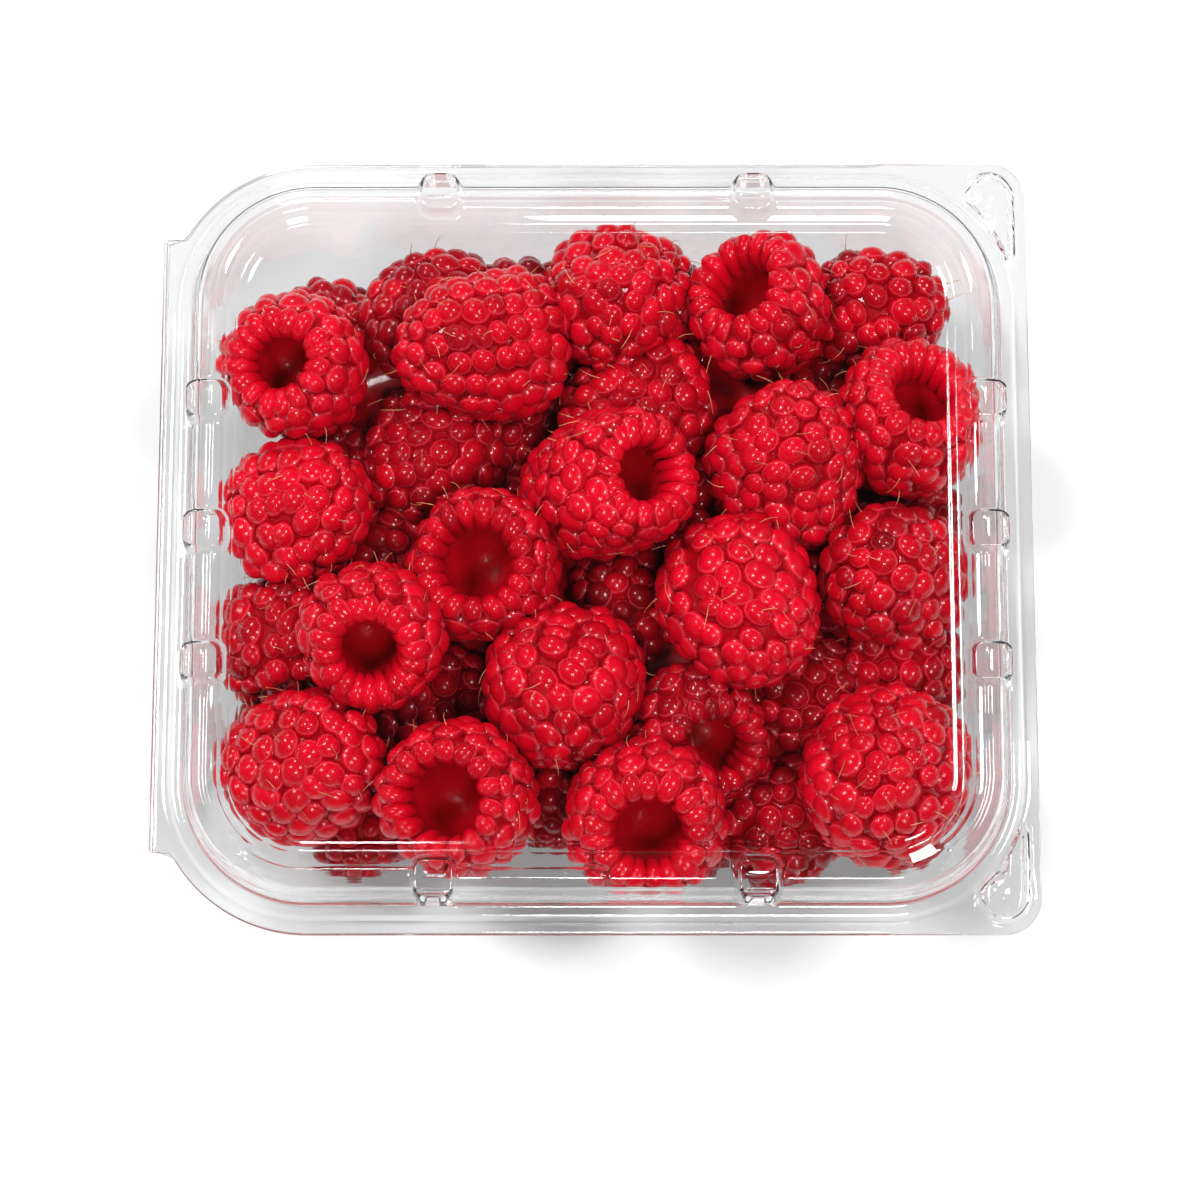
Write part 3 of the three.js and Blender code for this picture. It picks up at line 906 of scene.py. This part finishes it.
def berryBeads(berry, surface, draw):
    # each bead's distance from the tip, angle, half length, half width, height, and if it bends over the lip
    length, width, isOpen = berry[3], berry[4], berry[7]
    size = berryForm["beadSize"] * draw.uniform(0.95, 1.05) * (0.55 + 0.45 * width / 21.5)
    lipHalf = berryForm["lipBeadLength"] / 2
    lipStart = surface.lip + berryForm["lipShift"] - lipHalf
    last = lipStart - berryForm["lipClear"] if isOpen else surface.length
    rows = max(round(last / (size * berryForm["rowSpacing"])), 1)
    spacing = last / rows
    beads = []
    phase = draw.uniform(0, 6)
    for row in range(rows + 1):
        s = row * spacing
        point, normal = surface.at(s)
        small = 0.86 + 0.14 * min(s / (2.5 * spacing), 1)
        count = max(round(math.tau * point.x / (size * small)), 1)
        if row and count < 4:
            count = 4
        phase += math.pi / count + draw.uniform(-0.15, 0.15)
        for i in range(count):
            grow = small * (1 + draw.uniform(-1, 1) * berryForm["sizeJitter"])
            jitter = berryForm["placeJitter"] * size
            place = s + draw.uniform(-1, 1) * jitter * (1 if row else 0.3)
            turn = phase + math.tau * i / count + draw.uniform(-1, 1) * jitter / max(point.x, size)
            half = size * berryForm["beadHalf"] * grow
            beads.append((place, turn, half * draw.uniform(0.94, 1.08), half, berryForm["beadDepth"] * grow, False))
    if isOpen:
        count = berryForm["lipBeads"] + draw.randint(-1, 1)
        for i in range(count):
            turn = math.tau * (i + draw.uniform(-0.14, 0.14)) / count
            half = lipHalf * draw.uniform(0.88, 1.12)
            wide = berryForm["lipBeadWidth"] / 2 * draw.uniform(0.9, 1.1)
            place = surface.lip + berryForm["lipShift"] + draw.uniform(-0.4, 0.4)
            beads.append((place, turn, half, wide, berryForm["lipBeadDepth"] * draw.uniform(0.93, 1.07), True))
    return beads


def buildBerry(berry, templates, draw):
    # one berry in the pack's millimetres: its body, then its beads, with their colour values
    x, y, z, length, width, turn, tilt, isOpen, ripenessAndShade = berry
    end = "closedEnd"
    if isOpen:
        end = "wideEnd" if (x, y) in berryForm["wide"] else "openEnd"
    surface = BerrySurface(length, width, end)
    bm = bmesh.new()
    layers = {name: bm.verts.layers.float.new(name) for name in ("ripenessAndShade", "bead", "hollow")}
    lean = Matrix.Rotation(math.radians(turn), 3, "Z") @ Matrix.Rotation(math.radians(90 - tilt), 3, "Y")
    offset = Vector((draw.uniform(0, 50), draw.uniform(0, 50), draw.uniform(0, 50)))

    def inPack(local):
        bent = local + noise.noise_vector(local * berryForm["warpScale"] + offset) * berryForm["warp"]
        return lean @ bent + Vector((x, y, z))

    def pushed(local):
        # how far the berry's base gives way here, so that whole beads move and stay domed
        free = inPack(local)
        return room(free, berryForm["beadRise"], berryForm["squeeze"]) - free

    body = berryBody(surface)
    bm.from_mesh(body)
    bpy.data.meshes.remove(body)
    lipHeight = surface.at(surface.lip)[0].y if isOpen else length
    for vert in bm.verts:
        inside = isOpen and math.hypot(vert.co.x, vert.co.y) < 0.6 * width / 2 and vert.co.z > -length * 0.1
        vert[layers["hollow"]] = smoothStep(0, 7, lipHeight - vert.co.z) if inside else 0
        # painted shade: the body, seen only between the beads, takes a darker tone
        vert[layers["ripenessAndShade"]] = ripenessAndShade * 0.7
        vert.co = inPack(vert.co) + pushed(vert.co)

    tips = []
    for s, angle, halfLong, halfWide, depth, bent in berryBeads(berry, surface, draw):
        start = len(bm.verts)
        bm.from_mesh(templates[bent])
        bm.verts.ensure_lookup_table()
        point, normal = surface.at(s)
        tone = min(max(ripenessAndShade + draw.gauss(0, 0.12), 0), 1)
        sink = depth - berryForm["beadRise"] - berryForm["proud"]
        around = Vector((-math.sin(angle), math.cos(angle), 0))
        outward = Vector((math.cos(angle), math.sin(angle), 0))
        tipLean = math.radians(berryForm["lean"])
        tiltA, tiltB = draw.uniform(-tipLean, tipLean), draw.uniform(-tipLean, tipLean)
        along = Vector((-normal.y, normal.x))
        slope = outward * along.x + Vector((0, 0, along.y))
        up = outward * normal.x + Vector((0, 0, normal.y))
        middle = outward * point.x + Vector((0, 0, point.y))
        push = pushed(middle)
        for vert in bm.verts[start:]:
            u, v, w = vert.co
            rise = w * depth - sink
            if bent:
                here, upHere = surface.at(s + u * halfLong)
                push = pushed(outward * here.x + Vector((0, 0, here.y)))
                narrow = min(here.x / max(point.x, 0.1), 1.3)
                local = outward * here.x + Vector((0, 0, here.y)) + around * (v * halfWide * narrow)
                local += (outward * upHere.x + Vector((0, 0, upHere.y))) * rise
                below = lipHeight - local.z if here.x < point.x else 0
                vert[layers["hollow"]] = smoothStep(1, 8, below) * (1 if s + u * halfLong > surface.lip else 0)
            else:
                local = middle + slope * (u * halfLong + rise * tiltA) + around * (v * halfWide + rise * tiltB)
                local += up * rise
            vert[layers["ripenessAndShade"]] = tone
            vert[layers["bead"]] = max(w, 0)
            vert.co = room(inPack(local) + push, 0, berryForm["beadSqueeze"])
        if not bent:
            tip = middle + up * (depth - sink - 0.1)
            tips.append((room(inPack(tip) + push, 0, berryForm["beadSqueeze"]), lean @ up))
    return bm, tips


def buildHeap(name, berries, templates, seed, material, replaced, shade=0):
    # all the berries of one layer: a lower layer is shaded, as less light reaches it
    draw = random.Random(seed)
    whole = bmesh.new()
    for layer in ("ripenessAndShade", "bead", "hollow"):
        whole.verts.layers.float.new(layer)
    tips = []
    for berry in berries:
        bm, berryTips = buildBerry((*berry[:8], berry[8] - shade), templates, draw)
        mesh = bpy.data.meshes.new("berry")
        bm.to_mesh(mesh)
        bm.free()
        whole.from_mesh(mesh)
        bpy.data.meshes.remove(mesh)
        tips += berryTips
    finishPiece(name, whole, "tray", material, replaced)
    return tips


# The fruit deep in the heap, that fills what the berries leave open, painted dark as shade: none of the colour
# values are set on it, so it takes the darkest colours
core = {"size": (80, 68, 13), "middle": (0, 0, 9.5), "cuts": 30, "lumps": 2.4, "lumpScale": 0.16}


def buildShadeCore(material):
    bm = bmesh.new()
    bmesh.ops.create_cube(bm, size=1)
    bmesh.ops.scale(bm, vec=core["size"], verts=bm.verts)
    bmesh.ops.subdivide_edges(bm, edges=bm.edges, cuts=core["cuts"], use_grid_fill=True)
    for vert in bm.verts:
        lump = noise.noise_vector(vert.co * core["lumpScale"]) * core["lumps"]
        vert.co = room(vert.co + lump + Vector(core["middle"]), 0, berryForm["squeeze"])
    bmesh.ops.recalc_face_normals(bm, faces=bm.faces)
    # painted shade: the core's dark colour stands for the shade deep in the heap
    finishPiece("berries_shade_core", bm, "tray", material, "raspberries")


# The dried hairs that stand on the beads
hair = {"share": 0.4, "length": (1.4, 3.8), "radius": 0.075, "taper": 0.4, "curl": 0.9, "steps": 5, "facing": 0.05}


def hairTemplate():
    # a thin three-sided tube of unit length along Z
    bm = bmesh.new()
    ring = bmesh.ops.create_circle(bm, segments=3, radius=1)["verts"]
    edges = list({e for v in ring for e in v.link_edges})
    for step in range(hair["steps"]):
        grown = bmesh.ops.extrude_edge_only(bm, edges=edges)["geom"]
        edges = [g for g in grown if isinstance(g, bmesh.types.BMEdge)]
        moved = [g for g in grown if isinstance(g, bmesh.types.BMVert)]
        bmesh.ops.translate(bm, verts=moved, vec=(0, 0, 1 / hair["steps"]))
    bmesh.ops.holes_fill(bm, edges=bm.edges)
    bmesh.ops.recalc_face_normals(bm, faces=bm.faces)
    mesh = bpy.data.meshes.new("hair")
    bm.to_mesh(mesh)
    bm.free()
    return mesh


def buildHairs(tips, material):
    draw = random.Random(21)
    template = hairTemplate()
    bm = bmesh.new()
    for tip, up in tips:
        if draw.random() > hair["share"] or up.z < hair["facing"]:
            continue
        start = len(bm.verts)
        bm.from_mesh(template)
        bm.verts.ensure_lookup_table()
        length = draw.uniform(*hair["length"])
        sideways = Vector((draw.gauss(0, 1), draw.gauss(0, 1), draw.gauss(0, 1))).normalized()
        forward = (up * 0.8 + sideways).normalized()
        curl = (sideways.cross(up) + up * -0.6) * draw.uniform(0.3, 1) * hair["curl"]
        for vert in bm.verts[start:]:
            t = vert.co.z
            radius = hair["radius"] * (1 - hair["taper"] * t)
            spread = forward.to_track_quat("Z", "Y") @ Vector((vert.co.x * radius, vert.co.y * radius, 0))
            free = tip + forward * (length * t) + curl * (length * t * t * 0.5) + spread
            vert.co = room(free, 0, berryForm["beadSqueeze"])
    bpy.data.meshes.remove(template)
    finishPiece("styles", bm, "tray", material)


addCamera()
addStudio()
flesh = raspberryMaterial()
fine = {False: beadTemplate(12, 9, False), True: beadTemplate(10, 12, True)}
plain = {False: beadTemplate(10, 7, False), True: beadTemplate(8, 10, True)}
openTop = [b for b in topBerries if b[7]]
closedTop = [b for b in topBerries if not b[7]]
tips = buildHeap("berries_open", openTop, fine, 11, flesh, "raspberries")
tips += buildHeap("berries_whole", closedTop, fine, 12, flesh, "raspberries")
tips += buildHeap("berries_middle", middleBerries, plain, 13, flesh, "raspberries", 0.2)
buildHeap("berries_bottom", bottomBerries, plain, 14, flesh, "raspberries", 0.25)
buildShadeCore(flesh)
buildHairs(tips, styleMaterial())

shell = clearPlastic("clearPlastic")
for sheet in (buildTray(shell), buildLid(shell), buildFold(shell)):
    # its material lets these rays straight through, and leaving them out renders faster
    sheet.visible_shadow = False
    sheet.visible_diffuse = False
